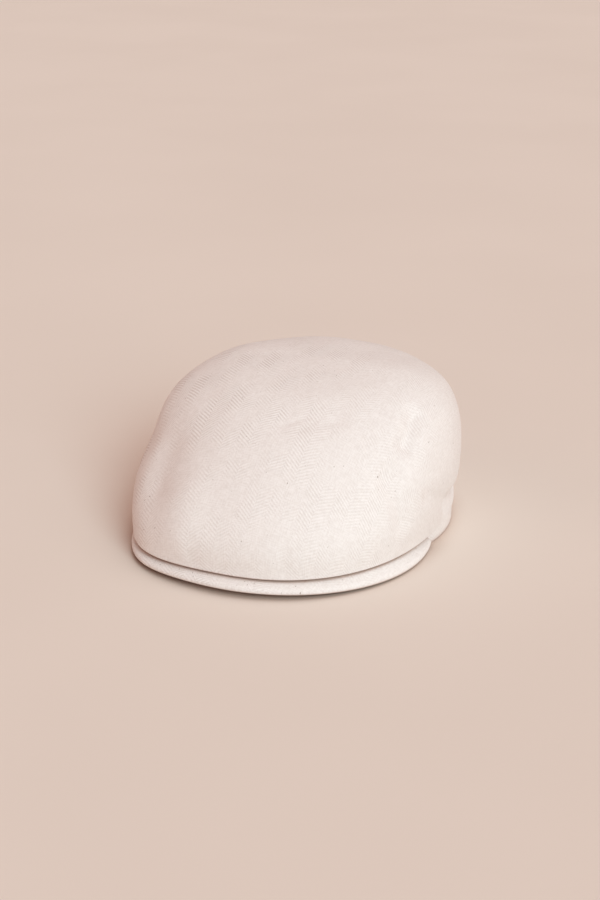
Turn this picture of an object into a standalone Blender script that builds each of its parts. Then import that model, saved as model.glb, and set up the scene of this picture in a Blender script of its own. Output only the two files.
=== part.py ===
"""Flat cap of linen cloth, resting by itself: a crown, a band and a peak.

Lengths are metres. +Z is up, the peak looks towards -Y, and +X is the wearer's left.
The origin is under the middle of the cap's box, on the surface that the cap rests on.
"""

import bpy
import numpy as np

MM = 0.001

# Cloth, gaps and the mesh
CLOTH = 2.0 * MM
GAP = 0.3 * MM
AROUND_STEPS = 72
CROWN_STEPS = 22
ROLL_STEPS = 3
FLANGE_STEPS = 2
SHARP_DEG = 50.0

# Head opening, an oval on the surface, measured outside the band
OPENING_HALF_WIDTH = 94.5 * MM
OPENING_HALF_LENGTH = 93.0 * MM
OPENING_Y = 16.0 * MM
BAND_WALL = 2.4 * MM

# The crown's lower edge: low over the peak, then up to the back
LIP_UP_FRONT = 13.5 * MM
LIP_UP_BACK = 34.0 * MM
LIP_RISE_FROM_DEG = 95.0
LIP_RISE_TO_DEG = 150.0
LIP_ROLL = 3.0 * MM

# Plan ovals of the crown in mm, from the middle of the opening
LEVEL_COLUMNS = ("level", "front", "back", "half_width", "widest_at", "square_front", "square_back")
LEVELS = (
    ("lip", 135.0, 102.0, 97.0, -21.0, 2.25, 2.35),
    ("bulge", 135.5, 109.0, 100.0, -15.0, 2.25, 2.10),
    ("shoulder", 113.0, 105.0, 90.0, -6.0, 2.20, 2.10),
    ("brow", 73.5, 68.5, 73.0, -4.0, 2.10, 2.10),
)

# Heights of the levels in mm, at turns from the front round to the back
STATION_COLUMNS = ("around_deg", "bulge_up", "shoulder_up", "brow_up")
STATIONS = (
    (0.0, 22.0, 56.5, 88.0),
    (50.0, 24.5, 62.5, 91.2),
    (80.0, 28.5, 80.0, 95.3),
    (110.0, 41.0, 82.5, 98.2),
    (145.0, 50.0, 77.5, 98.5),
    (180.0, 52.0, 76.0, 101.0),
)
TOP_Y = 4.0 * MM
TOP_UP = 108.2 * MM
TOP_SLOPE = 0.08

# Dents and folds: from one place on the crown to another, sizes in mm.
# A place is a turn from the front, + to the wearer's left, and the share
# of the way from the top down to the lip.
DENT_COLUMNS = ("name", "from_deg", "from_share", "to_deg", "to_share", "half_width", "depth")
DENTS = (
    ("right_valley_upper", -34.0, 0.70, -24.0, 0.80, 11.0, 2.2),
    ("right_valley_lower", -24.0, 0.80, -20.0, 0.90, 9.0, 2.0),
    ("right_hollow", -56.0, 0.72, -76.0, 0.71, 14.0, 3.0),
    ("left_crease_upper", 80.0, 0.54, 66.0, 0.68, 9.0, 1.8),
    ("left_crease_lower", 64.0, 0.70, 64.0, 0.84, 9.0, 2.2),
    ("left_side_fold", 80.0, 0.90, 120.0, 0.965, 8.0, 3.4),
    ("top_dip", 14.0, 0.40, 34.0, 0.42, 14.0, 1.6),
)
DENT_FADE_FROM = 0.96

# Peak: a plate with a rounded edge, arched over the surface. Its edge is an arc
# that stands out at a corner on the wearer's right.
PEAK_HALF_WIDTH = 96.5 * MM
PEAK_CENTRE_AHEAD = 45.0 * MM
PEAK_ASIDE = 2.0 * MM
PEAK_CORNER = 4.7 * MM
PEAK_CORNER_AT_DEG = -35.0
PEAK_CORNER_SPREAD_DEG = 19.0
PEAK_RIGHT_END_DEG = -101.0
PEAK_LEFT_END_DEG = 106.0
PEAK_THICKNESS = 4.5 * MM
PEAK_SIDE_LIFT = 0.4 * MM
PEAK_ARCH = 3.2 * MM
PEAK_SLOPE_REACH = 6.0 * MM
PEAK_STEPS = 56
PEAK_NOSE = (0.0, 0.3 * MM, 1.0 * MM)
PEAK_ACROSS_STEPS = 7
PEAK_ACROSS_POWER = 1.6

# Cloth colour and sheen of the three pieces
CLOTH_COLOUR = (0.78, 0.72, 0.66, 1.0)
CLOTH_ROUGHNESS = 0.9


def named_rows(table, columns):
    """The rows of a table, each with its columns by name."""
    return [dict(zip(columns, row)) for row in table]


def cubic_through(knots, values, at, start_slope=None, end_slope=None):
    """Smooth curve through the values at the knots, read at the places given."""
    knots = np.asarray(knots, float)
    values = np.asarray(values, float).reshape(len(knots), -1)
    last = len(knots) - 1
    span = np.diff(knots)
    chord = np.diff(values, axis=0) / span[:, None]
    system = np.zeros((last + 1, last + 1))
    right = np.zeros_like(values)
    for k in range(1, last):
        system[k, k - 1:k + 2] = (span[k - 1], 2.0 * (span[k - 1] + span[k]), span[k])
        right[k] = 6.0 * (chord[k] - chord[k - 1])
    system[0, 0] = 1.0
    system[last, last] = 1.0
    if start_slope is not None:
        system[0, :2] = (2.0 * span[0], span[0])
        right[0] = 6.0 * (chord[0] - start_slope)
    if end_slope is not None:
        system[last, last - 1:] = (span[-1], 2.0 * span[-1])
        right[last] = 6.0 * (end_slope - chord[-1])
    bend = np.linalg.solve(system, right)
    at = np.asarray(at, float)
    part = np.clip(np.searchsorted(knots, at) - 1, 0, last - 1)
    step = (at - knots[part])[:, None]
    width = span[part][:, None]
    slope = chord[part] - width * (2.0 * bend[part] + bend[part + 1]) / 6.0
    cubic = (bend[part + 1] - bend[part]) / (6.0 * width)
    return values[part] + slope * step + bend[part] / 2.0 * step ** 2 + cubic * step ** 3


def smooth_step(value, start, stop):
    """0 before start, 1 after stop, and an even curve between them."""
    share = np.clip((value - start) / (stop - start), 0.0, 1.0)
    return share * share * (3.0 - 2.0 * share)


def unit(vectors):
    """The same vectors at length 1."""
    return vectors / np.linalg.norm(vectors, axis=-1, keepdims=True)


def turn_degrees(turns):
    """How far each turn is from the front, 0 to 180 on either side."""
    wrapped = np.degrees(turns) % 360.0
    return np.minimum(wrapped, 360.0 - wrapped)


def turns_about(plan, half_width=1.0, half_length=1.0):
    """Turns of plan points about the middle of the opening, or of an oval there."""
    return np.arctan2(plan[..., 0] / half_width, (OPENING_Y - plan[..., 1]) / half_length)


def oval(turns, front, back, half_width, widest_at, square_front, square_back):
    """Plan points of a closed oval round the middle of the opening."""
    ahead = np.cos(turns)
    aside = np.sin(turns)
    square = np.where(ahead > 0.0, square_front, square_back)
    reach = np.where(ahead > 0.0, -(front + widest_at), back - widest_at)
    along = np.abs(ahead) ** (2.0 / square)
    across = np.sign(aside) * np.abs(aside) ** (2.0 / square)
    return np.stack([half_width * across, OPENING_Y + widest_at + reach * along], axis=-1)


def opening_oval(turns, inset=0.0):
    """Plan points of the band's outer face, moved in by the inset."""
    length = OPENING_HALF_LENGTH - inset
    return oval(turns, length, length, OPENING_HALF_WIDTH - inset, 0.0, 2.0, 2.0)


def opening_facing(plan, inset=0.0):
    """The opening's plan points that lie straight inwards of the points given."""
    facing = turns_about(plan, OPENING_HALF_WIDTH, OPENING_HALF_LENGTH)
    return opening_oval(facing, inset)


def level_plan(name, turns):
    """Plan points of one level of the crown."""
    level = next(row for row in named_rows(LEVELS, LEVEL_COLUMNS) if row["level"] == name)
    front, back, half_width, widest_at = (level[size] * MM for size in LEVEL_COLUMNS[1:5])
    return oval(turns, front, back, half_width, widest_at, level["square_front"], level["square_back"])


def lip_height(plan):
    """Height of the crown's lip over the plan points given."""
    rise = smooth_step(turn_degrees(turns_about(plan)), LIP_RISE_FROM_DEG, LIP_RISE_TO_DEG)
    return LIP_UP_FRONT + (LIP_UP_BACK - LIP_UP_FRONT) * rise


def station_heights(turns):
    """Heights of bulge, shoulder and brow, round the cap."""
    stations = named_rows(STATIONS, STATION_COLUMNS)
    around = [station["around_deg"] for station in stations]
    ups = [[station[up] * MM for up in STATION_COLUMNS[1:]] for station in stations]
    flat = np.zeros(len(ups[0]))
    return cubic_through(around, ups, turn_degrees(turns), flat, flat)


def crown_points(turns, shares):
    """The crown's smooth outer face, without dents: a section at each turn."""
    top = np.tile([0.0, OPENING_Y + TOP_Y, TOP_UP], (len(turns), 1))
    plans = [level_plan(row["level"], turns) for row in named_rows(LEVELS, LEVEL_COLUMNS)]
    heights = [lip_height(plans[0])] + list(station_heights(turns).T)
    levels = [np.column_stack([plan, up]) for plan, up in zip(plans, heights)]
    knots = np.stack([top] + levels[::-1], axis=1)
    points = np.zeros((len(turns), len(shares), 3))
    for number, section in enumerate(knots):
        way = np.concatenate([[0.0], np.cumsum(np.linalg.norm(np.diff(section, axis=0), axis=1))])
        leaving = section[1] - section[0]
        leaving[2] = TOP_SLOPE * leaving[1]
        points[number] = cubic_through(way, section, way[-1] * shares, unit(leaving))
    return points


def outward(points):
    """Outward directions of a grid of points: turns by steps down the section."""
    round_way = unit(np.roll(points, -1, axis=0) - np.roll(points, 1, axis=0) + 1e-12)
    down = unit(np.diff(points, axis=1))
    before = np.concatenate([down[:, :1], down], axis=1)
    after = np.concatenate([down, down[:, -1:]], axis=1)
    normals = unit(np.cross(unit(before + after), round_way))
    normals[:, 0] = (0.0, 0.0, 1.0)
    return normals


def dent_depth(points, shares):
    """How far in the dents and folds press each point of the crown."""
    depth = np.zeros(points.shape[:2])
    for dent in named_rows(DENTS, DENT_COLUMNS):
        turns = np.radians([dent["from_deg"], dent["to_deg"]])
        ends = crown_points(turns, np.array([dent["from_share"], dent["to_share"]]))
        start = ends[0, 0]
        run = ends[1, 1] - start
        share = np.clip((points - start) @ run / (run @ run), 0.0, 1.0)
        away = np.linalg.norm(points - start - share[..., None] * run, axis=-1)
        depth += dent["depth"] * MM * np.exp(-(away / (dent["half_width"] * MM)) ** 2)
    return depth * (1.0 - smooth_step(shares, DENT_FADE_FROM, 1.0))


def crown_outer_face(turns):
    """Outer face from the top down, under the rolled lip and in to the opening."""
    shares = np.linspace(0.0, 1.0, CROWN_STEPS + 1)
    face = crown_points(turns, shares)
    face = face - outward(face) * dent_depth(face, shares)[..., None]
    lip = face[:, -1]
    inner = np.column_stack([opening_facing(lip[:, :2], BAND_WALL), lip[:, 2] - LIP_ROLL])
    inward = inner - lip
    inward[:, 2] = 0.0
    inward = unit(inward)
    middle = lip + LIP_ROLL * inward
    rings = []
    for number in range(1, ROLL_STEPS + 1):
        bend = np.radians(90.0 * number / ROLL_STEPS)
        rings.append(middle - LIP_ROLL * (np.cos(bend) * inward + np.sin(bend) * np.array([0.0, 0.0, 1.0])))
    under = rings[-1]
    for number in range(1, FLANGE_STEPS + 1):
        rings.append(under + (inner - under) * number / FLANGE_STEPS)
    return np.concatenate([face, np.stack(rings, axis=1)], axis=1)


def join_grid(rows, columns, first, close_rows, close_columns):
    """Faces of a grid of vertices that starts at the index given."""
    faces = []
    for row in range(rows if close_rows else rows - 1):
        below = (row + 1) % rows
        for col in range(columns if close_columns else columns - 1):
            right = (col + 1) % columns
            corners = ((row, col), (row, right), (below, right), (below, col))
            faces.append(tuple(first + r * columns + c for r, c in corners))
    return faces


def add_piece(name, vertices, faces):
    """One closed body with its own cloth material."""
    mesh = bpy.data.meshes.new(name)
    mesh.from_pydata([tuple(map(float, vertex)) for vertex in vertices], [], faces)
    mesh.validate()
    mesh.polygons.foreach_set("use_smooth", [True] * len(mesh.polygons))
    mesh.set_sharp_from_angle(angle=np.radians(SHARP_DEG))
    material = bpy.data.materials.new(name + "_cloth")
    material.use_nodes = True
    shader = material.node_tree.nodes["Principled BSDF"]
    shader.inputs["Base Color"].default_value = CLOTH_COLOUR
    shader.inputs["Roughness"].default_value = CLOTH_ROUGHNESS
    mesh.materials.append(material)
    piece = bpy.data.objects.new(name, mesh)
    bpy.context.scene.collection.objects.link(piece)
    return piece


def make_crown():
    """Hollow cloth shell, open below, with a lip rolled in to the opening."""
    turns = np.linspace(0.0, 2.0 * np.pi, AROUND_STEPS, endpoint=False)
    outer = crown_outer_face(turns)
    inner = (outer - CLOTH * outward(outer))[:, ::-1]
    walls = np.concatenate([outer[:, 1:], inner[:, :-1]], axis=1)
    count = walls.shape[1]
    vertices = [outer[0, 0], inner[0, -1]] + list(walls.reshape(-1, 3))
    faces = join_grid(AROUND_STEPS, count, 2, True, False)
    for row in range(AROUND_STEPS):
        here = 2 + row * count
        beside = 2 + (row + 1) % AROUND_STEPS * count
        faces.append((0, here, beside))
        faces.append((1, beside + count - 1, here + count - 1))
    return add_piece("crown", vertices, faces)


def make_band():
    """Upright ring round the head opening, with a flat rim below."""
    turns = np.linspace(0.0, 2.0 * np.pi, AROUND_STEPS, endpoint=False)
    lip = level_plan("lip", turns)
    outside = opening_facing(lip)
    inside = opening_facing(lip, BAND_WALL)
    top = lip_height(lip) - LIP_ROLL - GAP
    floor = np.zeros_like(top)
    corners = ((outside, top), (outside, floor), (inside, floor), (inside, top))
    ring = np.stack([np.column_stack([plan, up]) for plan, up in corners], axis=1)
    faces = join_grid(AROUND_STEPS, len(corners), 0, True, True)
    return add_piece("band", list(ring.reshape(-1, 3)), faces)


def peak_edge(turns):
    """Plan points of the peak's outer edge, an arc with its corner."""
    from_corner = (np.degrees(turns) - PEAK_CORNER_AT_DEG) / PEAK_CORNER_SPREAD_DEG
    reach = PEAK_HALF_WIDTH + PEAK_CORNER * np.exp(-from_corner ** 2)
    aside = PEAK_ASIDE + reach * np.sin(turns)
    ahead = PEAK_CENTRE_AHEAD + reach * np.cos(turns)
    return np.column_stack([aside, OPENING_Y - ahead])


def peak_section(edge, root):
    """Closed section of the peak from its outer edge in to the band."""
    width = np.linalg.norm(root - edge)
    shares = (np.arange(1, PEAK_ACROSS_STEPS + 1) / PEAK_ACROSS_STEPS) ** PEAK_ACROSS_POWER
    ins = np.concatenate([PEAK_NOSE, PEAK_NOSE[-1] + (width - PEAK_NOSE[-1]) * shares])
    seat = LIP_UP_FRONT - LIP_ROLL - GAP
    lift = PEAK_SIDE_LIFT + PEAK_ARCH * (1.0 - (edge[0] / PEAK_HALF_WIDTH) ** 2)
    drop = (seat - PEAK_THICKNESS - lift) * np.exp(-(ins / PEAK_SLOPE_REACH) ** 2)
    half = PEAK_THICKNESS / 2.0
    swell = half * np.sqrt(1.0 - np.clip(1.0 - ins / half, 0.0, 1.0) ** 2)
    plan = edge + (root - edge) / width * ins[:, None]
    middle = seat - half - drop
    top = np.column_stack([plan, middle + swell])
    bottom = np.column_stack([plan, middle - swell])
    return np.concatenate([top[::-1], bottom[1:]])


def make_peak():
    """Crescent plate in front of the band, under the crown's lip."""
    turns = np.radians(np.linspace(PEAK_RIGHT_END_DEG, PEAK_LEFT_END_DEG, PEAK_STEPS + 1))
    edges = peak_edge(turns)
    roots = opening_facing(edges, -GAP)
    sections = np.stack([peak_section(edge, root) for edge, root in zip(edges, roots)])
    rows, columns = sections.shape[:2]
    faces = join_grid(rows, columns, 0, False, True)
    faces.append(tuple(range(columns))[::-1])
    faces.append(tuple(range((rows - 1) * columns, rows * columns)))
    return add_piece("peak", list(sections.reshape(-1, 3)), faces)


for old in list(bpy.data.objects):
    bpy.data.objects.remove(old, do_unlink=True)

make_crown()
make_band()
make_peak()
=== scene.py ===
"""Flat cap of pale herringbone linen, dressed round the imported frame.

Lengths are metres. +Z is up, the peak looks towards -Y and +X is the wearer's left.
The origin is under the middle of the cap's box, on the surface that it rests on.
"""

import logging
import math
from dataclasses import dataclass, field
from enum import Enum

import bpy
import numpy as np
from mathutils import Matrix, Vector, noise


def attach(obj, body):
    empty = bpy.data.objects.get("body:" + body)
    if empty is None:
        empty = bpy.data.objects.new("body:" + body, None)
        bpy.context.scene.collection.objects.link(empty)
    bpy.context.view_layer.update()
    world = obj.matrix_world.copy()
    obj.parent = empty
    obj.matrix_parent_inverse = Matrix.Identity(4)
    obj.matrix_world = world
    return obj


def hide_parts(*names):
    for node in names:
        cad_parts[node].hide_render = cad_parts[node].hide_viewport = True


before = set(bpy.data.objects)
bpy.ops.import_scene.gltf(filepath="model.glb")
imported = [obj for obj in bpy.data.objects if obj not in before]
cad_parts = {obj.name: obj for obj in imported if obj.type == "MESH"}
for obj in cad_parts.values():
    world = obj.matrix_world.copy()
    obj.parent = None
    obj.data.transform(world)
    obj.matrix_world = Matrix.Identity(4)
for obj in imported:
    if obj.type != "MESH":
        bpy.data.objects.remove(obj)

MM = 0.001
ROOT = "root"
WEAVE_MAP = "cloth"
PHOTO_LONG_SIDE = 900.0

# Keeps a direction without length, at the very top, from being divided by zero.
TINY = 1e-12
# How far one step of a seed moves the waves, in each direction.
WAVE_SHIFT = (1.0, 0.7, -1.0)
# Rays from each point that look for faces close over it.
COVER_RAYS = 8

# Sizes that more than one piece is built to.
GAP = 0.3 * MM
BAND_WALL = 2.4 * MM
LIP_ROLL = 1.6 * MM

log = logging.getLogger("cap")


class Slot(Enum):
    """Material slots of the record."""

    CROWN = "crown_cloth"
    BAND = "band_cloth"
    PEAK = "peak_cloth"


class Crossing(Enum):
    """How a fold's section looks across its length."""

    SOFT = 2.0
    CRISP = 1.15


@dataclass(frozen=True)
class Level:
    """One plan oval of the crown, in millimetres from the middle of the opening.

    The corner is how far it stands out in front on the wearer's right.
    """

    name: str
    front: float
    back: float
    half_width: float
    widest_at: float
    square_front: float
    square_back: float
    corner: float


@dataclass(frozen=True)
class Station:
    """Heights of three levels at one turn from the front, in millimetres."""

    around_deg: float
    bulge_up: float
    shoulder_up: float
    brow_up: float


@dataclass(frozen=True)
class Fold:
    """A dent or fold between two places on the crown, widths and depths in mm.

    A place is a turn from the front, + to the wearer's left, and the share of the
    way from the top down to the lip. A depth below zero stands out.
    """

    name: str
    from_deg: float
    from_share: float
    to_deg: float
    to_share: float
    half_width: float
    depth: float
    crossing: Crossing = Crossing.SOFT


LIP = Level("lip", 135.0, 102.0, 97.0, -21.0, 2.25, 2.20, 5.2)

LEVELS = (
    LIP,
    Level("bulge", 135.5, 109.0, 100.0, -15.0, 2.25, 2.10, 3.0),
    Level("shoulder", 113.0, 105.0, 90.0, -6.0, 2.20, 2.10, 0.0),
    Level("brow", 73.5, 68.5, 73.0, -4.0, 2.10, 2.10, 0.0),
)

STATIONS = (
    Station(0.0, 22.0, 56.5, 88.0),
    Station(50.0, 24.5, 62.5, 91.2),
    Station(80.0, 28.5, 80.0, 95.3),
    Station(110.0, 41.0, 82.5, 98.2),
    Station(145.0, 50.0, 77.5, 98.5),
    Station(180.0, 52.0, 76.0, 101.0),
)

FOLDS = (
    Fold("right_valley_upper", -40.0, 0.66, -34.0, 0.78, 13.0, 1.8),
    Fold("right_valley_lower", -33.0, 0.80, -28.0, 0.87, 11.0, 0.6),
    Fold("right_hollow", -62.0, 0.72, -80.0, 0.71, 15.0, 2.6),
    Fold("left_crease_upper", 81.0, 0.52, 72.0, 0.60, 6.0, 3.7),
    Fold("left_crease_middle", 71.0, 0.62, 62.0, 0.69, 8.0, 1.8),
    Fold("left_crease_lower", 62.0, 0.71, 67.0, 0.86, 8.0, 2.0),
    Fold("left_side_fold_front", 80.0, 0.82, 96.0, 0.92, 6.0, 1.8),
    Fold("left_side_fold", 98.0, 0.935, 122.0, 0.975, 7.0, 3.6),
    Fold("top_dip", 14.0, 0.40, 34.0, 0.42, 14.0, 1.6),
)

WRINKLES = (
    Fold("right_bulge", -15.0, 0.775, -12.0, 0.885, 15.0, -1.9),
    Fold("top_wrinkle_front", 12.0, 0.44, 22.0, 0.40, 2.6, 0.50, Crossing.CRISP),
    Fold("top_wrinkle_middle", 20.0, 0.47, 27.0, 0.42, 2.4, 0.45, Crossing.CRISP),
    Fold("top_wrinkle_side", 30.0, 0.45, 40.0, 0.44, 3.0, 0.38, Crossing.CRISP),
    Fold("left_crease_fine", 78.0, 0.54, 74.0, 0.64, 2.6, 0.50, Crossing.CRISP),
    Fold("left_pinch", 66.0, 0.80, 67.0, 0.87, 3.5, 0.45, Crossing.CRISP),
    Fold("front_pucker_right", -8.0, 0.90, -6.0, 0.98, 4.5, 0.50),
    Fold("front_pucker_left", 22.0, 0.90, 24.0, 0.98, 5.0, 0.50),
    Fold("brow_line_right", -60.0, 0.40, -30.0, 0.44, 10.0, 0.7),
    Fold("back_dip", 168.0, 0.45, 196.0, 0.48, 14.0, 1.2),
    Fold("back_fold_left", 140.0, 0.78, 160.0, 0.88, 9.0, 1.2),
    Fold("back_fold_right", 218.0, 0.76, 204.0, 0.88, 10.0, 1.4),
    Fold("right_side_fold", 262.0, 0.80, 246.0, 0.92, 9.0, 1.3),
)


def cubic_through(
    knots: np.ndarray,
    values: np.ndarray,
    at: np.ndarray,
    start_slope: np.ndarray | None = None,
    end_slope: np.ndarray | None = None,
) -> np.ndarray:
    """Smooth curve through the values at the knots.

    Args:
        knots: Rising places along the curve.
        values: One row for each knot.
        at: Places to read the curve at.
        start_slope: Slope at the first knot, or None for an end without bend.
        end_slope: Slope at the last knot, or None for an end without bend.

    Returns:
        One row for each place in at.
    """
    knots = np.asarray(knots, float)
    values = np.asarray(values, float).reshape(len(knots), -1)
    last = len(knots) - 1
    span = np.diff(knots)
    chord = np.diff(values, axis=0) / span[:, None]
    system = np.zeros((last + 1, last + 1))
    right = np.zeros_like(values)
    for k in range(1, last):
        system[k, k - 1:k + 2] = (span[k - 1], 2.0 * (span[k - 1] + span[k]), span[k])
        right[k] = 6.0 * (chord[k] - chord[k - 1])
    system[0, 0] = 1.0
    system[last, last] = 1.0
    if start_slope is not None:
        system[0, :2] = (2.0 * span[0], span[0])
        right[0] = 6.0 * (chord[0] - start_slope)
    if end_slope is not None:
        system[last, last - 1:] = (span[-1], 2.0 * span[-1])
        right[last] = 6.0 * (end_slope - chord[-1])
    bend = np.linalg.solve(system, right)
    at = np.asarray(at, float)
    part = np.clip(np.searchsorted(knots, at) - 1, 0, last - 1)
    step = (at - knots[part])[:, None]
    width = span[part][:, None]
    slope = chord[part] - width * (2.0 * bend[part] + bend[part + 1]) / 6.0
    cubic = (bend[part + 1] - bend[part]) / (6.0 * width)
    return values[part] + slope * step + bend[part] / 2.0 * step ** 2 + cubic * step ** 3


def from_front_deg(turns: np.ndarray) -> np.ndarray:
    """Turns from the front in degrees, counted the same to either side."""
    wrapped = np.degrees(turns) % 360.0
    return np.minimum(wrapped, 360.0 - wrapped)


def smooth_step(value: np.ndarray, start: float, stop: float) -> np.ndarray:
    """0 before start, 1 after stop, and an even curve between them."""
    share = np.clip((value - start) / (stop - start), 0.0, 1.0)
    return share * share * (3.0 - 2.0 * share)


def unit(vectors: np.ndarray) -> np.ndarray:
    """The same vectors at length 1."""
    return vectors / np.linalg.norm(vectors, axis=-1, keepdims=True)


def outward(points: np.ndarray) -> np.ndarray:
    """Outward directions of a closed grid of points.

    Args:
        points: Grid of turns by steps down the section, all starting at the top.

    Returns:
        A unit direction for each point.
    """
    round_way = unit(np.roll(points, -1, axis=0) - np.roll(points, 1, axis=0) + TINY)
    down = unit(np.diff(points, axis=1))
    before = np.concatenate([down[:, :1], down], axis=1)
    after = np.concatenate([down, down[:, -1:]], axis=1)
    normals = unit(np.cross(unit(before + after), round_way))
    normals[:, 0] = (0.0, 0.0, 1.0)
    return normals


def grid_faces(rows: int, columns: int, first: int, close_rows: bool, close_columns: bool) -> list:
    """Four-cornered faces of a grid of vertices.

    Args:
        rows: How many rows of vertices.
        columns: How many vertices in a row.
        first: Index of the first vertex.
        close_rows: Whether the last row joins the first.
        close_columns: Whether each row is a ring.

    Returns:
        Faces as tuples of vertex indices.
    """
    faces = []
    for row in range(rows if close_rows else rows - 1):
        below = (row + 1) % rows
        for col in range(columns if close_columns else columns - 1):
            right = (col + 1) % columns
            corners = ((row, col), (row, right), (below, right), (below, col))
            faces.append(tuple(first + r * columns + c for r, c in corners))
    return faces


def cloth_waves(points: np.ndarray, spacing: float, seed: float) -> np.ndarray:
    """Even, unrepeating waves over points, from -1 to 1.

    Args:
        points: Places, one row each.
        spacing: Rough distance between two waves.
        seed: Moves the pattern.

    Returns:
        One value for each point.
    """
    shift = Vector([seed * way for way in WAVE_SHIFT])
    return np.array([noise.noise(Vector(point) / spacing + shift) for point in points])


@dataclass(frozen=True)
class Opening:
    """Head opening: an oval on the surface, measured outside the band."""

    half_width: float = 94.5 * MM
    half_length: float = 93.0 * MM
    middle_y: float = 16.0 * MM

    def turns_of(self, plan: np.ndarray) -> np.ndarray:
        """Turns of plan points about the middle of the opening."""
        return np.arctan2(plan[..., 0], self.middle_y - plan[..., 1])

    def oval(self, turns: np.ndarray, inset: float) -> np.ndarray:
        """Plan points of the band's outer face.

        Args:
            turns: Turns of the oval, in radians.
            inset: How far the points are moved in.

        Returns:
            One plan point for each turn.
        """
        across = (self.half_width - inset) * np.sin(turns)
        along = self.middle_y - (self.half_length - inset) * np.cos(turns)
        return np.stack([across, along], axis=-1)

    def facing(self, plan: np.ndarray, inset: float) -> np.ndarray:
        """Points of the oval, moved in by the inset, that face the plan points given."""
        ahead = (self.middle_y - plan[..., 1]) / self.half_length
        return self.oval(np.arctan2(plan[..., 0] / self.half_width, ahead), inset)


@dataclass(frozen=True)
class CrownForm:
    """The crown's smooth outer form, from its tables of levels and stations."""

    opening: Opening = Opening()
    top_y: float = 4.0 * MM
    top_up: float = 108.2 * MM
    top_slope: float = 0.08
    lip_up_front: float = 12.1 * MM
    lip_up_back: float = 32.6 * MM
    lip_rise_from_deg: float = 106.0
    lip_rise_to_deg: float = 162.0
    corner_at_deg: float = -31.0
    corner_spread_deg: float = 20.0

    def plan(self, level: Level, turns: np.ndarray) -> np.ndarray:
        """Plan points of one level.

        Args:
            level: The oval's sizes.
            turns: Turns from the front, in radians.

        Returns:
            One plan point for each turn.
        """
        ahead = np.cos(turns)
        aside = np.sin(turns)
        square = np.where(ahead > 0.0, level.square_front, level.square_back)
        reach = np.where(ahead > 0.0, -(level.front + level.widest_at), level.back - level.widest_at)
        across = level.half_width * np.sign(aside) * np.abs(aside) ** (2.0 / square)
        along = level.widest_at + reach * np.abs(ahead) ** (2.0 / square)
        from_corner = (np.degrees(turns) - self.corner_at_deg + 180.0) % 360.0 - 180.0
        standing = level.corner * np.exp(-(from_corner / self.corner_spread_deg) ** 2)
        grown = 1.0 + standing / np.hypot(across, along)
        return np.stack([across * grown * MM, self.opening.middle_y + along * grown * MM], axis=-1)

    def lip_height(self, plan: np.ndarray) -> np.ndarray:
        """Height of the lip.

        Args:
            plan: Plan points on the lip.

        Returns:
            One height for each point.
        """
        turned = from_front_deg(self.opening.turns_of(plan))
        rise = smooth_step(turned, self.lip_rise_from_deg, self.lip_rise_to_deg)
        return self.lip_up_front + (self.lip_up_back - self.lip_up_front) * rise

    def heights(self, turns: np.ndarray) -> np.ndarray:
        """Heights of bulge, shoulder and brow.

        Args:
            turns: Turns from the front, in radians.

        Returns:
            The three heights for each turn.
        """
        around = [station.around_deg for station in STATIONS]
        ups = [(s.bulge_up * MM, s.shoulder_up * MM, s.brow_up * MM) for s in STATIONS]
        no_slope = np.zeros(3)
        return cubic_through(around, ups, from_front_deg(turns), no_slope, no_slope)

    def points(self, turns: np.ndarray, shares: np.ndarray) -> np.ndarray:
        """Sections of the smooth form.

        Args:
            turns: Turns from the front, in radians.
            shares: Shares of the way from the top to the lip.

        Returns:
            Points in a grid of turns by shares.
        """
        top = np.tile([0.0, self.opening.middle_y + self.top_y, self.top_up], (len(turns), 1))
        plans = [self.plan(level, turns) for level in LEVELS]
        ups = [self.lip_height(plans[0])] + list(self.heights(turns).T)
        levels = [np.column_stack([plan, up]) for plan, up in zip(plans, ups)]
        knots = np.stack([top] + levels[::-1], axis=1)
        grid = np.zeros((len(turns), len(shares), 3))
        for number, section in enumerate(knots):
            steps = np.linalg.norm(np.diff(section, axis=0), axis=1)
            way = np.concatenate([[0.0], np.cumsum(steps)])
            leaving = section[1] - section[0]
            leaving[2] = self.top_slope * leaving[1]
            grid[number] = cubic_through(way, section, way[-1] * shares, unit(leaving))
        return grid


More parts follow.
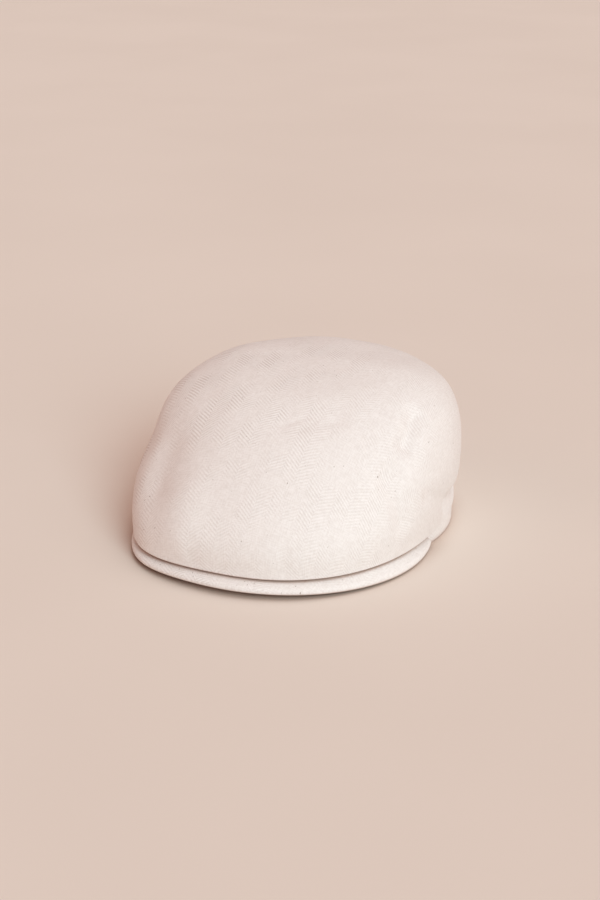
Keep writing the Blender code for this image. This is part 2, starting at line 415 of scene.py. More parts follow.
@dataclass
class ClothLay:
    """How the flat cloth lies over the crown: its warp runs from front to back.

    The cloth is read in slices about a line from side to side, below the cap, so
    the ribs keep their width across the front as well as over the top.
    """

    form: CrownForm
    line_y: float = 16.0 * MM
    line_up: float = -22.0 * MM
    side_reach: float = 108.0 * MM
    give: float = 0.4
    steps: int = 20
    middle_points: int = 61
    angles: np.ndarray = field(init=False)
    radii: np.ndarray = field(init=False)
    lengths: np.ndarray = field(init=False)

    def __post_init__(self) -> None:
        """Measures the middle section that the slices start from."""
        shares = np.linspace(0.0, 1.0, self.middle_points)
        front, back = self.form.points(np.array([0.0, math.pi]), shares)
        middle = np.concatenate([back[::-1], front[1:]])
        across = middle[:, 1] - self.line_y
        up = middle[:, 2] - self.line_up
        walk = np.linalg.norm(np.diff(middle, axis=0), axis=1)
        lengths = np.concatenate([[0.0], np.cumsum(walk)])
        angles = np.arctan2(-across, up)
        order = np.argsort(angles)
        self.angles = angles[order]
        self.radii = np.hypot(across, up)[order]
        self.lengths = (lengths - np.interp(0.0, angles, lengths))[order]

    def places(self, points: np.ndarray) -> np.ndarray:
        """Where points of the crown lie on the flat cloth.

        Args:
            points: Points, one row each.

        Returns:
            Place across and along the cloth for each point, in metres.
        """
        back = points[:, 1] - self.line_y
        up = points[:, 2] - self.line_up
        angle = np.arctan2(-back, up)
        radius = np.interp(angle, self.angles, self.radii)
        lean = np.arctan2(points[:, 0] / self.side_reach, np.hypot(back, up) / radius)
        across = np.zeros(len(points))
        for step in range(self.steps):
            at = lean * (step + 0.5) / self.steps
            across += np.hypot(radius * np.sin(at), self.side_reach * np.cos(at)) * lean / self.steps
        along = np.interp(angle, self.angles, self.lengths) * np.cos(lean) ** self.give
        return np.column_stack([across, along])


class NodeBench:
    """Short calls that lay out one material's nodes."""

    def __init__(self, name: str) -> None:
        """Starts an empty material with a shader and an output.

        Args:
            name: Name of the material.
        """
        self.material = bpy.data.materials.new(name)
        self.material.use_nodes = True
        self.tree = self.material.node_tree
        self.tree.nodes.clear()
        self.shader = self.add("ShaderNodeBsdfPrincipled")
        output = self.add("ShaderNodeOutputMaterial")
        self.join(self.shader.outputs["BSDF"], output.inputs["Surface"])

    def add(self, kind: str, **settings: object) -> bpy.types.Node:
        """Adds a node.

        Args:
            kind: Name of the kind of node.
            settings: Settings of the node, by name.

        Returns:
            The node.
        """
        node = self.tree.nodes.new(kind)
        for name, value in settings.items():
            setattr(node, name, value)
        return node

    def join(self, source: bpy.types.NodeSocket, target: bpy.types.NodeSocket) -> None:
        """A link from one socket to another."""
        self.tree.links.new(source, target)

    def feed(self, target: bpy.types.NodeSocket, value: object) -> None:
        """Gives a socket what it works with.

        Args:
            target: The socket that is fed.
            value: A number or a colour, or the output of another node.
        """
        if isinstance(value, bpy.types.NodeSocket):
            self.join(value, target)
        else:
            target.default_value = value

    def calc(self, operation: str, *values: object, clamp: bool = False) -> bpy.types.NodeSocket:
        """Adds one step of arithmetic.

        Args:
            operation: Name of the operation.
            values: Numbers, or outputs of other nodes.
            clamp: Whether the result is kept between 0 and 1.

        Returns:
            The result.
        """
        node = self.add("ShaderNodeMath", operation=operation, use_clamp=clamp)
        for target, value in zip(node.inputs, values):
            self.feed(target, value)
        return node.outputs["Value"]

    def grain(self, place: bpy.types.NodeSocket, scale: float, detail: float = 2.0) -> bpy.types.NodeSocket:
        """Adds even noise.

        Args:
            place: Place that the noise is read at, in metres.
            scale: Waves to the metre.
            detail: How many finer layers lie over the first.

        Returns:
            A value from 0 to 1.
        """
        node = self.add("ShaderNodeTexNoise")
        self.join(place, node.inputs["Vector"])
        node.inputs["Scale"].default_value = scale
        node.inputs["Detail"].default_value = detail
        return node.outputs["Fac"]

    def stretch(self, place: bpy.types.NodeSocket, across: float, along: float) -> bpy.types.NodeSocket:
        """Scales the two directions of a place apart.

        Args:
            place: Place on the cloth.
            across: Scale across the ribs.
            along: Scale along the ribs.

        Returns:
            The new place.
        """
        node = self.add("ShaderNodeMapping")
        self.join(place, node.inputs["Vector"])
        node.inputs["Scale"].default_value = (across, along, 1.0)
        return node.outputs["Vector"]

    def ramp(
        self,
        value: bpy.types.NodeSocket,
        low: float,
        high: float,
        to_low: float = 0.0,
        to_high: float = 1.0,
    ) -> bpy.types.NodeSocket:
        """Takes a value softly from one range to another.

        Args:
            value: The value.
            low: Start of its range.
            high: End of its range.
            to_low: Result at the start.
            to_high: Result at the end.

        Returns:
            The result.
        """
        node = self.add("ShaderNodeMapRange", interpolation_type="SMOOTHSTEP")
        self.join(value, node.inputs["Value"])
        for name, size in zip(("From Min", "From Max", "To Min", "To Max"), (low, high, to_low, to_high)):
            node.inputs[name].default_value = size
        return node.outputs["Result"]

    def blend(self, share: object, first: object, second: object) -> bpy.types.NodeSocket:
        """Mixes two colours.

        Args:
            share: 0 for the first colour and 1 for the second.
            first: First colour.
            second: Second colour.

        Returns:
            The mixed colour.
        """
        node = self.add("ShaderNodeMix", data_type="RGBA")
        self.feed(node.inputs["Factor"], share)
        colours = [s for s in node.inputs if s.type == "RGBA"]
        self.feed(colours[0], first)
        self.feed(colours[1], second)
        return next(s for s in node.outputs if s.type == "RGBA")

    def covered(self, reach: float, closed: float, clear: float, share: float) -> bpy.types.NodeSocket:
        """Finds where other faces stand close over this one.

        Args:
            reach: How far away they are looked for.
            closed: Openness at which the face counts as fully covered.
            clear: Openness at which it counts as free.
            share: Result where it is covered.

        Returns:
            The share where it is covered, and 0 in the open.
        """
        openness = self.add("ShaderNodeAmbientOcclusion", samples=COVER_RAYS)
        openness.inputs["Distance"].default_value = reach
        return self.ramp(openness.outputs["AO"], closed, clear, share, 0.0)

    def surface(self, roughness: float, specular: float) -> None:
        """Sets how matt the shader is."""
        self.shader.inputs["Roughness"].default_value = roughness
        self.shader.inputs["Specular IOR Level"].default_value = specular


@dataclass(frozen=True)
class HerringboneLinen:
    """Pale linen in a wide herringbone: ribs of slanted lines that turn at each rib.

    A share is 0 for the pale yarn and 1 for the deep one. A scale is how many waves
    of noise go to the metre, and a stretch below 1 draws them out along a yarn.
    """

    rib: float = 9.0 * MM
    line: float = 2.4 * MM
    slant: float = 0.75
    yarn: float = 0.55 * MM
    sway: float = 1.6 * MM
    sway_scale: float = 45.0
    lag: float = 1.4 * MM
    lag_scale: float = 90.0
    lag_stretch: float = 0.4
    pale: tuple = (0.93, 0.90, 0.885, 1.0)
    deep: tuple = (0.62, 0.555, 0.515, 1.0)
    mean_share: float = 0.22
    line_share: float = 0.42
    # Painted sheen: every other rib a little deeper, as its slant catches the light less.
    rib_sheen_share: float = 0.02
    rib_contrast: float = 0.55
    slub_share: float = 0.14
    slub_scale: float = 1500.0
    slub_stretch: float = 0.12
    slub_spread: tuple = (0.75, 1.25)
    cloud_share: float = 0.02
    cloud_scale: float = 28.0
    cloud_spread: tuple = (0.3, 0.7)
    fine_detail: float = 3.0
    fleck: tuple = (0.30, 0.24, 0.20, 1.0)
    fleck_share: float = 0.75
    fleck_scale: float = 620.0
    fleck_stretch: float = 0.55
    fleck_detail: float = 1.0
    fleck_from: float = 0.755
    fleck_edge: float = 0.045
    # Painted shade: a warm brown laid into creases, gaps and under the lip, where other faces stand close.
    painted_shade: tuple = (0.42, 0.24, 0.16, 1.0)
    painted_shade_share: float = 0.70
    painted_shade_reach: float = 7.0 * MM
    painted_shade_closed: float = 0.30
    painted_shade_clear: float = 0.80
    # Painted highlight: the lines fade over the lit front and the wearer's left side, as if washed out by
    # the light.
    highlight_washout: float = 0.58
    washed_out_front: tuple = (50.0 * MM, 120.0 * MM)
    washed_out_middle: tuple = (45.0 * MM, 100.0 * MM)
    washed_out_left: tuple = (0.0, 50.0 * MM)
    patch_scale: float = 42.0
    patch_spread: tuple = (0.40, 0.60)
    patch_clearness: tuple = (0.12, 1.25)
    relief: float = 0.32 * MM
    relief_strength: float = 0.55
    yarn_relief: float = 0.06
    slub_relief: float = 0.5
    roughness: float = 0.92
    specular: float = 0.25
    sheen: float = 0.18
    sheen_roughness: float = 0.45

    def every_other(self, bench: NodeBench, across: bpy.types.NodeSocket) -> bpy.types.NodeSocket:
        """0 on one rib and 1 on the next."""
        number = bench.calc("FLOOR", bench.calc("DIVIDE", across, self.rib))
        return bench.calc("MODULO", bench.calc("ABSOLUTE", number), 2.0)

    def zigzag(
        self,
        bench: NodeBench,
        across: bpy.types.NodeSocket,
        along: bpy.types.NodeSocket,
        other: bpy.types.NodeSocket,
    ) -> bpy.types.NodeSocket:
        """Lays out the slanted lines.

        Args:
            bench: The material's nodes.
            across: Place across the ribs.
            along: Place along the ribs.
            other: 0 on one rib and 1 on the next.

        Returns:
            0 in the grooves and 1 on the ridges.
        """
        turn = bench.calc("PINGPONG", across, self.rib)
        broken = bench.calc("MULTIPLY", other, self.line * 0.5)
        run = bench.calc("ADD", bench.calc("MULTIPLY_ADD", turn, self.slant, along), broken)
        wave = bench.calc("SINE", bench.calc("MULTIPLY", run, 2.0 * math.pi / self.line))
        return bench.calc("MULTIPLY_ADD", wave, 0.5, 0.5)

    def clearness(
        self,
        bench: NodeBench,
        place: bpy.types.NodeSocket,
        across: bpy.types.NodeSocket,
        along: bpy.types.NodeSocket,
    ) -> bpy.types.NodeSocket:
        """Works out how clearly the lines show: in patches, and less over the lit front and the wearer's
        left, as painted highlight that washes them out.

        Args:
            bench: The material's nodes.
            place: Place on the cloth.
            across: Place across the cloth, + to the wearer's left.
            along: Place along the cloth, + to the front.

        Returns:
            0 where no line shows, and about 1 where they are clear.
        """
        # Painted highlight: less line over the lit front and the wearer's left side.
        front = bench.ramp(along, *self.washed_out_front)
        middle = bench.ramp(bench.calc("ABSOLUTE", across), *self.washed_out_middle, 1.0, 0.0)
        left = bench.ramp(across, *self.washed_out_left)
        washed_out = bench.calc("MAXIMUM", bench.calc("MULTIPLY", front, middle), left)
        kept = bench.calc("MULTIPLY_ADD", washed_out, -self.highlight_washout, 1.0)
        patches = bench.ramp(bench.grain(place, self.patch_scale), *self.patch_spread, *self.patch_clearness)
        return bench.calc("MULTIPLY", patches, kept)

    def colour(
        self,
        bench: NodeBench,
        place: bpy.types.NodeSocket,
        groove: bpy.types.NodeSocket,
        other: bpy.types.NodeSocket,
        slubs: bpy.types.NodeSocket,
    ) -> bpy.types.NodeSocket:
        """Colours the cloth: its lines, slubs, clouds and flecks, and painted warm shade in the creases and
        gaps where other faces stand close.

        Args:
            bench: The material's nodes.
            place: Place on the cloth.
            groove: How deep the lines are, 0 halfway.
            other: 0 on one rib and 1 on the next.
            slubs: The thick places of both yarns.

        Returns:
            The colour.
        """
        # Painted sheen: every other rib a little deeper in tone.
        mean = bench.calc("MULTIPLY_ADD", other, self.rib_sheen_share, self.mean_share)
        depth = bench.calc("MULTIPLY_ADD", groove, self.line_share, mean)
        worn = bench.ramp(slubs, *self.slub_spread, -self.slub_share, self.slub_share)
        clouds = bench.grain(place, self.cloud_scale, self.fine_detail)
        patchy = bench.ramp(clouds, *self.cloud_spread, -self.cloud_share, self.cloud_share)
        share = bench.calc("ADD", bench.calc("ADD", depth, worn), patchy, clamp=True)
        cloth = bench.blend(share, self.pale, self.deep)
        drawn = bench.stretch(place, 1.0, self.fleck_stretch)
        specks = bench.grain(drawn, self.fleck_scale, self.fleck_detail)
        shown = bench.ramp(specks, self.fleck_from, self.fleck_from + self.fleck_edge, 0.0, self.fleck_share)
        flecked = bench.blend(shown, cloth, self.fleck)
        # Painted shade: warm brown where other faces stand close, in creases and gaps.
        painted_shade_mask = bench.covered(self.painted_shade_reach, self.painted_shade_closed, self.painted_shade_clear, self.painted_shade_share)
        return bench.blend(painted_shade_mask, flecked, self.painted_shade)

    def material(self, name: str) -> bpy.types.Material:
        """Makes the cloth.

        Args:
            name: Name of the material.

        Returns:
            A material that reads the cloth's own map, in metres.
        """
        bench = NodeBench(name)
        place = bench.add("ShaderNodeUVMap", uv_map=WEAVE_MAP).outputs["UV"]
        split = bench.add("ShaderNodeSeparateXYZ")
        bench.join(place, split.inputs["Vector"])
        sway = bench.calc("MULTIPLY_ADD", bench.grain(place, self.sway_scale), self.sway, -self.sway / 2.0)
        drawn = bench.grain(bench.stretch(place, 1.0, self.lag_stretch), self.lag_scale)
        lag = bench.calc("MULTIPLY_ADD", drawn, self.lag, -self.lag / 2.0)
        across = bench.calc("ADD", split.outputs["X"], sway)
        along = bench.calc("ADD", split.outputs["Y"], lag)
        other = self.every_other(bench, across)
        lines = self.zigzag(bench, across, along, other)
        clear = self.clearness(bench, place, split.outputs["X"], split.outputs["Y"])
        strong = bench.calc("MULTIPLY", clear, bench.calc("MULTIPLY_ADD", other, self.rib_contrast, 1.0))
        groove = bench.calc("MULTIPLY", bench.calc("SUBTRACT", 0.5, lines), strong)
        warp = bench.stretch(place, 1.0, self.slub_stretch)
        weft = bench.stretch(place, self.slub_stretch, 1.0)
        slub = bench.grain(warp, self.slub_scale, self.fine_detail)
        weft_slub = bench.grain(weft, self.slub_scale, self.fine_detail)
        colour = self.colour(bench, place, groove, other, bench.calc("ADD", slub, weft_slub))
        bench.join(colour, bench.shader.inputs["Base Color"])

        yarn = bench.calc("SINE", bench.calc("MULTIPLY", across, 2.0 * math.pi / self.yarn))
        thick = bench.calc("MULTIPLY", slub, self.slub_relief)
        yarns = bench.calc("MULTIPLY_ADD", yarn, self.yarn_relief, thick)
        bump = bench.add("ShaderNodeBump")
        bump.inputs["Strength"].default_value = self.relief_strength
        bump.inputs["Distance"].default_value = self.relief
        bench.join(bench.calc("ADD", bench.calc("MULTIPLY", lines, clear), yarns), bump.inputs["Height"])
        bench.join(bump.outputs["Normal"], bench.shader.inputs["Normal"])
        bench.surface(self.roughness, self.specular)
        bench.shader.inputs["Sheen Weight"].default_value = self.sheen
        bench.shader.inputs["Sheen Roughness"].default_value = self.sheen_roughness
        return bench.material


CROWN_LINEN = HerringboneLinen()
PEAK_LINEN = HerringboneLinen(line_share=0.24, rib_contrast=0.3, relief=0.22 * MM, fleck_from=0.72)


@dataclass(frozen=True)
class StudioPaper:
    """Matt pale paper under the cap, with painted warm contact shadow where the cap stands close over it."""

    colour: tuple = (0.84, 0.765, 0.70, 1.0)
    shade: tuple = (0.82, 0.745, 0.68, 1.0)
    cloud_scale: float = 3.0
    cloud_spread: tuple = (0.3, 0.7)
    # Painted contact shadow: the warm brown laid on the paper where the cap stands close over it.
    close: tuple = (0.46, 0.27, 0.18, 1.0)
    contact_shade_share: float = 0.60
    contact_shade_reach: float = 22.0 * MM
    contact_shade_closed: float = 0.15
    contact_shade_clear: float = 0.85
    roughness: float = 0.95
    specular: float = 0.2

    def material(self, name: str) -> bpy.types.Material:
        """Makes the paper, with a faint cloudiness and painted contact shadow under the cap.

        Args:
            name: Name of the material.

        Returns:
            The material.
        """
        bench = NodeBench(name)
        place = bench.add("ShaderNodeTexCoord").outputs["Object"]
        share = bench.ramp(bench.grain(place, self.cloud_scale), *self.cloud_spread)
        paper = bench.blend(share, self.colour, self.shade)
        # Painted contact shadow: warm brown on the paper where the cap stands close over it.
        covered = bench.covered(self.contact_shade_reach, self.contact_shade_closed, self.contact_shade_clear, self.contact_shade_share)
        bench.join(bench.blend(covered, paper, self.close), bench.shader.inputs["Base Color"])
        bench.surface(self.roughness, self.specular)
        return bench.material


def add_object(name: str, data: bpy.types.ID) -> bpy.types.Object:
    """Puts an object into the scene.

    Args:
        name: Name of the object.
        data: Its mesh, camera or light.

    Returns:
        The object.
    """
    thing = bpy.data.objects.new(name, data)
    bpy.context.scene.collection.objects.link(thing)
    return thing


def add_piece(name: str, vertices: np.ndarray, faces: list, places: np.ndarray) -> bpy.types.Object:
    """One smooth mesh piece with the map that its cloth is read by.

    Args:
        name: Name of the piece.
        vertices: Points, one row each.
        faces: Faces as tuples of vertex indices.
        places: Place of each vertex on the flat cloth, in metres.

    Returns:
        The piece, in the scene.
    """
    mesh = bpy.data.meshes.new(name)
    mesh.from_pydata([tuple(map(float, vertex)) for vertex in vertices], [], faces)
    mesh.polygons.foreach_set("use_smooth", [True] * len(mesh.polygons))
    corners = np.zeros(len(mesh.loops), dtype=np.int32)
    mesh.loops.foreach_get("vertex_index", corners)
    mesh.uv_layers.new(name=WEAVE_MAP).data.foreach_set("uv", places[corners].astype(np.float32).ravel())
    mesh.validate()
    mesh.update()
    return add_object(name, mesh)


def dress(piece: bpy.types.Object, node: str, finish: HerringboneLinen) -> None:
    """Gives a piece its cloth and its body, and hides the CAD node that it replaces.

    Args:
        piece: The piece.
        node: Node of the frame that it replaces.
        finish: Its cloth.
    """
    piece.data.materials.append(finish.material(piece.name + "_linen"))
    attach(piece, ROOT)
    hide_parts(node)
    log.info("%s: %d faces", piece.name, len(piece.data.polygons))


@dataclass
class Crown:
    """Soft hollow crown with its dents, folds and a lip rolled in over the band."""

    form: CrownForm = CrownForm()
    cloth: float = 1.5 * MM
    turns: int = 288
    steps_down: int = 120
    roll_steps: int = 8
    under_steps: int = 3
    fold_fade_from: float = 0.98
    broad_waves: tuple = (38.0 * MM, 0.45 * MM, 3.1)
    small_waves: tuple = (13.0 * MM, 0.14 * MM, 8.1)
    calm_top: float = 0.08
    calm_lip_from: float = 0.90

    def fold_depth(self, points: np.ndarray, shares: np.ndarray) -> np.ndarray:
        """How far in the folds press each point.

        Args:
            points: The smooth form, turns by shares.
            shares: Shares of the way from the top to the lip.

        Returns:
            A depth for each point, in metres.
        """
        depth = np.zeros(points.shape[:2])
        for fold in FOLDS + WRINKLES:
            turns = np.radians([fold.from_deg, fold.to_deg])
            ends = self.form.points(turns, np.array([fold.from_share, fold.to_share]))
            start = ends[0, 0]
            run = ends[1, 1] - start
            share = np.clip((points - start) @ run / (run @ run), 0.0, 1.0)
            away = np.linalg.norm(points - start - share[..., None] * run, axis=-1)
            section = np.exp(-(away / (fold.half_width * MM)) ** fold.crossing.value)
            depth += fold.depth * MM * section
        return depth * (1.0 - smooth_step(shares, self.fold_fade_from, 1.0))

    def unevenness(self, points: np.ndarray, shares: np.ndarray) -> np.ndarray:
        """The soft waves of cloth that hangs by itself, still at the top and the lip.

        Args:
            points: The smooth form, turns by shares.
            shares: Shares of the way from the top to the lip.

        Returns:
            How far each point stands out, in metres.
        """
        flat = points.reshape(-1, 3)
        waves = np.zeros(len(flat))
        for spacing, height, seed in (self.broad_waves, self.small_waves):
            waves += height * cloth_waves(flat, spacing, seed)
        calm = smooth_step(shares, 0.0, self.calm_top) * (1.0 - smooth_step(shares, self.calm_lip_from, 1.0))
        return waves.reshape(points.shape[:2]) * calm

    def outer_face(self, turns: np.ndarray) -> np.ndarray:
        """Outer face from the top down, under the rolled lip and in to the opening.

        Args:
            turns: Turns from the front, in radians.

        Returns:
            Points in a grid of turns by steps down.
        """
        shares = np.linspace(0.0, 1.0, self.steps_down + 1)
        face = self.form.points(turns, shares)
        pressed = self.fold_depth(face, shares) - self.unevenness(face, shares)
        face = face - outward(face) * pressed[..., None]
        lip = face[:, -1]
        reach = self.form.opening.facing(lip[:, :2], BAND_WALL)
        inner = np.column_stack([reach, lip[:, 2] - LIP_ROLL])
        inward = inner - lip
        inward[:, 2] = 0.0
        inward = unit(inward)
        middle = lip + LIP_ROLL * inward
        rings = []
        for number in range(1, self.roll_steps + 1):
            bend = math.radians(90.0 * number / self.roll_steps)
            spoke = math.cos(bend) * inward + math.sin(bend) * np.array([0.0, 0.0, 1.0])
            rings.append(middle - LIP_ROLL * spoke)
        under = rings[-1]
        for number in range(1, self.under_steps + 1):
            rings.append(under + (inner - under) * number / self.under_steps)
        return np.concatenate([face, np.stack(rings, axis=1)], axis=1)

    def build(self, finish: HerringboneLinen) -> None:
        """Makes the crown as one closed shell and dresses it.

        Args:
            finish: Its cloth.
        """
        turns = np.linspace(0.0, 2.0 * np.pi, self.turns, endpoint=False)
        outer = self.outer_face(turns)
        inner = (outer - self.cloth * outward(outer))[:, ::-1]
        walls = np.concatenate([outer[:, 1:], inner[:, :-1]], axis=1)
        count = walls.shape[1]
        vertices = np.concatenate([outer[:1, 0], inner[:1, -1], walls.reshape(-1, 3)])
        faces = grid_faces(self.turns, count, 2, True, False)
        for row in range(self.turns):
            here = 2 + row * count
            beside = 2 + (row + 1) % self.turns * count
            faces.append((0, here, beside))
            faces.append((1, beside + count - 1, here + count - 1))
        places = ClothLay(self.form).places(vertices)
        piece = add_piece("crown_shell", vertices, faces, places)
        dress(piece, "crown", finish)


@dataclass
class Band:
    """Upright ring round the head opening, with a flat rim below."""

    form: CrownForm = CrownForm()
    edge_round: float = 0.7 * MM
    bevel_share: float = 0.3
    turns: int = 288
    rise_steps: int = 6

    def section(self, height: float) -> list[tuple[float, float]]:
        """Closed section of the ring.

        Args:
            height: Height of the ring at this turn.

        Returns:
            Inset from the outer face and height of each point.
        """
        soft = self.edge_round
        bevel = self.bevel_share * soft
        ups = np.linspace(height - soft, soft, self.rise_steps + 1)
        outside = [(0.0, float(up)) for up in ups]
        inside = [(BAND_WALL, float(up)) for up in ups[::-1]]
        under = [(bevel, bevel), (soft, 0.0), (BAND_WALL - soft, 0.0), (BAND_WALL - bevel, bevel)]
        above = [(inset, height - up) for inset, up in under[::-1]]
        return outside + under + inside + above

    def build(self, finish: HerringboneLinen) -> None:
        """Makes the band and dresses it.

        Args:
            finish: Its cloth.
        """
        turns = np.linspace(0.0, 2.0 * np.pi, self.turns, endpoint=False)
        lip = self.form.plan(LIP, turns)
        tops = self.form.lip_height(lip) - LIP_ROLL - GAP
        outside = self.form.opening.facing(lip, 0.0)
        inside = self.form.opening.facing(lip, BAND_WALL)
        around = np.concatenate([[0.0], np.cumsum(np.linalg.norm(np.diff(outside, axis=0), axis=1))])
        rings = []
        places = []
        for turn, top in enumerate(tops):
            section = self.section(float(top))
            for inset, up in section:
                plan = outside[turn] + (inside[turn] - outside[turn]) * inset / BAND_WALL
                rings.append((plan[0], plan[1], up))
                places.append((around[turn], up + inset))
        faces = grid_faces(self.turns, len(self.section(1.0)), 0, True, True)
        piece = add_piece("head_band", np.array(rings), faces, np.array(places))
        dress(piece, "band", finish)


@dataclass
class Peak:
    """Cloth-covered peak: a crescent plate with a rounded edge, arched over the surface."""

    form: CrownForm = CrownForm()
    half_width: float = 96.5 * MM
    centre_ahead: float = 45.0 * MM
    aside: float = 2.0 * MM
    right_end_deg: float = -101.0
    left_end_deg: float = 106.0
    corner: float = 4.7 * MM
    corner_at_deg: float = -35.0
    corner_spread_deg: float = 19.0
    thickness: float = 4.5 * MM
    side_lift: float = 0.4 * MM
    arch: float = 3.2 * MM
    slope_reach: float = 6.0 * MM
    turns: int = 220
    end_round_deg: float = 1.8
    end_first_bend: float = 0.2
    end_steps: int = 6
    nose_steps: int = 9
    across_steps: int = 24
    crowding: float = 1.5

    def edge(self, turns: np.ndarray) -> np.ndarray:
        """Plan points of the outer edge, an arc that stands out at one corner.

        Args:
            turns: Turns of the arc, in radians.

        Returns:
            One plan point for each turn.
        """
        from_corner = (np.degrees(turns) - self.corner_at_deg) / self.corner_spread_deg
        reach = self.half_width + self.corner * np.exp(-from_corner ** 2)
        across = self.aside + reach * np.sin(turns)
        ahead = self.centre_ahead + reach * np.cos(turns)
        return np.column_stack([across, self.form.opening.middle_y - ahead])

    def section(self, edge: np.ndarray, root: np.ndarray, fullness: float) -> tuple[np.ndarray, np.ndarray]:
        """Closed section from the root over the top, round the edge and back below.

        Args:
            edge: Plan point of the outer edge.
            root: Plan point beside the band.
            fullness: Share of the full thickness, less than 1 at the rounded ends.

        Returns:
            Points of the section, and the place of each on the flat cloth.
        """
        width = float(np.linalg.norm(root - edge))
        half = self.thickness / 2.0
        bends = np.linspace(0.0, math.pi / 2.0, self.nose_steps + 1)
        nose = half * (1.0 - np.cos(bends))
        shares = np.linspace(0.0, 1.0, self.across_steps + 1)[1:] ** self.crowding
        ins = np.concatenate([nose, nose[-1] + (width - nose[-1]) * shares])
        seat = self.form.lip_up_front - LIP_ROLL - GAP
        lift = self.side_lift + self.arch * (1.0 - (edge[0] / self.half_width) ** 2)
        drop = (seat - self.thickness - lift) * np.exp(-(ins / self.slope_reach) ** 2)
        swell = fullness * half * np.sqrt(1.0 - np.clip(1.0 - ins / half, 0.0, 1.0) ** 2)
        inward = (root - edge) / width
        plan = edge + inward * ins[:, None]
        middle = seat - half - drop
        top = np.column_stack([plan, middle + swell])
        bottom = np.column_stack([plan, middle - swell])
        walk = np.concatenate([[0.0], np.cumsum(np.linalg.norm(np.diff(top, axis=0), axis=1))])
        cloth = edge + inward * walk[:, None]
        return np.concatenate([top[::-1], bottom[1:]]), np.concatenate([cloth[::-1], cloth[1:]])

    def build(self, finish: HerringboneLinen) -> None:
        """Makes the peak and dresses it.

        Args:
            finish: Its cloth.
        """
        bends = np.linspace(self.end_first_bend, math.pi / 2.0, self.end_steps)
        ends = self.end_round_deg * (1.0 - np.cos(bends))
        first = self.right_end_deg + ends
        last = self.left_end_deg - ends[::-1]
        middle = np.linspace(first[-1], last[0], self.turns + 1)[1:-1]
        turns = np.radians(np.concatenate([first, middle, last]))
        fullness = np.concatenate([np.sin(bends), np.ones(len(middle)), np.sin(bends[::-1])])
        edges = self.edge(turns)
        roots = self.form.opening.facing(edges, -GAP)
        made = [self.section(edge, root, full) for edge, root, full in zip(edges, roots, fullness)]
        sections = np.stack([points for points, _ in made])
        places = np.stack([place for _, place in made])
        rows, columns = sections.shape[:2]
        faces = grid_faces(rows, columns, 0, False, True)
        faces.append(tuple(range(columns))[::-1])
        faces.append(tuple(range((rows - 1) * columns, rows * columns)))
        piece = add_piece("peak_plate", sections.reshape(-1, 3), faces, places.reshape(-1, 2))
        dress(piece, "peak", finish)


@dataclass(frozen=True)
class Lamp:
    """One soft, far light, placed by its bearing from the cap."""

    name: str
    azimuth_deg: float
    elevation_deg: float
    spread_deg: float
    strength: float
    colour: tuple


LAMPS = (
    Lamp("key_light", 50.0, 32.0, 32.0, 1.92, (0.745, 0.955, 1.0)),
    Lamp("fill_light", -50.0, 18.0, 60.0, 0.28, (1.0, 0.53, 0.42)),
    Lamp("top_light", 105.0, 66.0, 60.0, 0.68, (1.0, 0.94, 0.90)),
    Lamp("side_light", 100.0, 6.0, 50.0, 0.22, (1.0, 0.55, 0.40)),
)


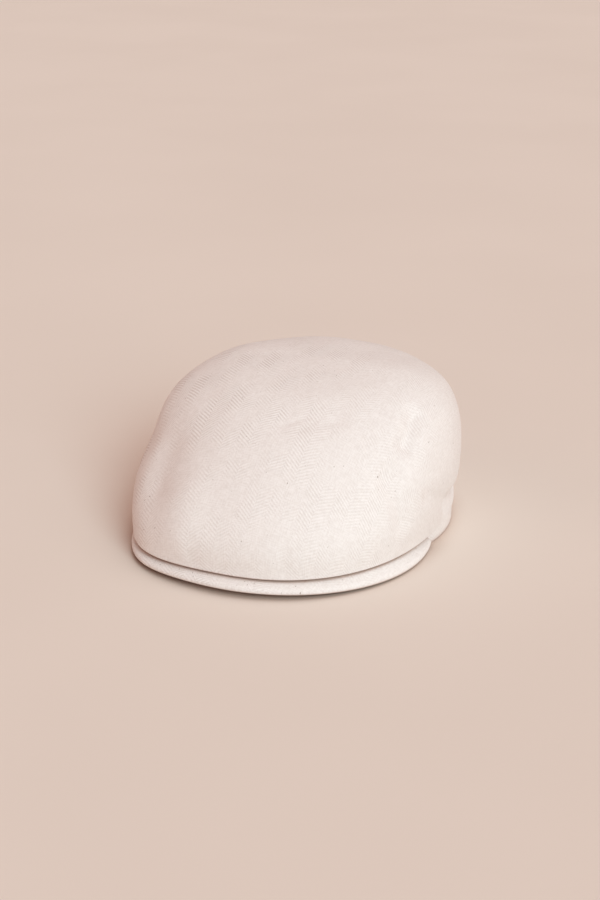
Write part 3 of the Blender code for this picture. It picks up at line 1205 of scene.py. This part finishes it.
@dataclass(frozen=True)
class Studio:
    """Pale floor, soft lights and the camera at the photograph's angle.

    The target's place in the picture and the picture's middle are in pixels.
    """

    target: tuple = (8.2 * MM, -19.7 * MM, 46.0 * MM)
    azimuth_deg: float = 26.0
    elevation_deg: float = 22.0
    distance: float = 1.125
    lens: float = 70.0
    film: float = 36.0
    nearest_seen: float = 0.01
    farthest_seen: float = 50.0
    target_at: tuple = (298.0, 466.0)
    frame_middle: tuple = (300.0, 450.0)
    floor_half: float = 30.0
    lamp_distance: float = 2.0
    ambient: float = 0.385
    ambient_colour: tuple = (1.0, 0.63, 0.52, 1.0)
    far_wall: tuple = (0.78, 0.69, 0.62, 1.0)

    def bearing(self, azimuth_deg: float, elevation_deg: float, distance: float) -> Vector:
        """The place at a bearing from the target.

        Args:
            azimuth_deg: Turn from the front, + to the wearer's left.
            elevation_deg: Angle above the surface.
            distance: Distance from the target.

        Returns:
            The place.
        """
        turn = math.radians(azimuth_deg)
        rise = math.radians(elevation_deg)
        way = Vector((math.sin(turn) * math.cos(rise), -math.cos(turn) * math.cos(rise), math.sin(rise)))
        return Vector(self.target) + way * distance

    def aim(self, thing: bpy.types.Object) -> None:
        """Turns a camera or a light towards the target."""
        thing.rotation_euler = (Vector(self.target) - thing.location).to_track_quat("-Z", "Y").to_euler()

    def add_camera(self) -> None:
        """Sets the scene's camera."""
        eye = bpy.data.cameras.new("photo_camera")
        eye.lens = self.lens
        eye.sensor_width = self.film
        eye.sensor_fit = "AUTO"
        eye.clip_start = self.nearest_seen
        eye.clip_end = self.farthest_seen
        eye.shift_x = (self.frame_middle[0] - self.target_at[0]) / PHOTO_LONG_SIDE
        eye.shift_y = (self.target_at[1] - self.frame_middle[1]) / PHOTO_LONG_SIDE
        camera = add_object("photo_camera", eye)
        camera.location = self.bearing(self.azimuth_deg, self.elevation_deg, self.distance)
        self.aim(camera)
        bpy.context.scene.camera = camera

    def add_floor(self) -> None:
        """Lays the floor, level with the rim that the cap rests on."""
        half = self.floor_half
        corners = [(-half, -half, 0.0), (half, -half, 0.0), (half, half, 0.0), (-half, half, 0.0)]
        mesh = bpy.data.meshes.new("floor")
        mesh.from_pydata(corners, [], [(0, 1, 2, 3)])
        mesh.materials.append(StudioPaper().material("floor_paper"))
        floor = add_object("floor", mesh)

    def add_lights(self) -> None:
        """Hangs the lamps and sets the light of the room."""
        for lamp in LAMPS:
            light = bpy.data.lights.new(lamp.name, "SUN")
            light.angle = math.radians(lamp.spread_deg)
            light.energy = lamp.strength
            light.color = lamp.colour
            holder = add_object(lamp.name, light)
            holder.location = self.bearing(lamp.azimuth_deg, lamp.elevation_deg, self.lamp_distance)
            self.aim(holder)
        bpy.context.scene.world = self.room()
        bpy.context.scene.view_settings.view_transform = "Standard"

    def room(self) -> bpy.types.World:
        """Makes the light of the room, with a pale far wall where the camera sees past the floor.

        Returns:
            The world.
        """
        world = bpy.data.worlds.new("room")
        world.use_nodes = True
        tree = world.node_tree
        light = tree.nodes["Background"]
        light.inputs["Color"].default_value = self.ambient_colour
        light.inputs["Strength"].default_value = self.ambient
        wall = tree.nodes.new("ShaderNodeBackground")
        wall.inputs["Color"].default_value = self.far_wall
        seen = tree.nodes.new("ShaderNodeLightPath")
        both = tree.nodes.new("ShaderNodeMixShader")
        tree.links.new(seen.outputs["Is Camera Ray"], both.inputs["Fac"])
        tree.links.new(light.outputs["Background"], both.inputs[1])
        tree.links.new(wall.outputs["Background"], both.inputs[2])
        tree.links.new(both.outputs["Shader"], tree.nodes["World Output"].inputs["Surface"])
        return world

    def build(self) -> None:
        """Makes the whole studio."""
        self.add_floor()
        self.add_lights()
        self.add_camera()
        log.info("studio: %d lamps", len(LAMPS))


def main() -> None:
    """Builds the cap's pieces in order, then the studio."""
    logging.basicConfig(level=logging.INFO, format="%(name)s %(message)s")
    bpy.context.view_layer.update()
    Crown().build(CROWN_LINEN)
    Band().build(CROWN_LINEN)
    Peak().build(PEAK_LINEN)
    Studio().build()


if __name__ == "__main__":
    main()
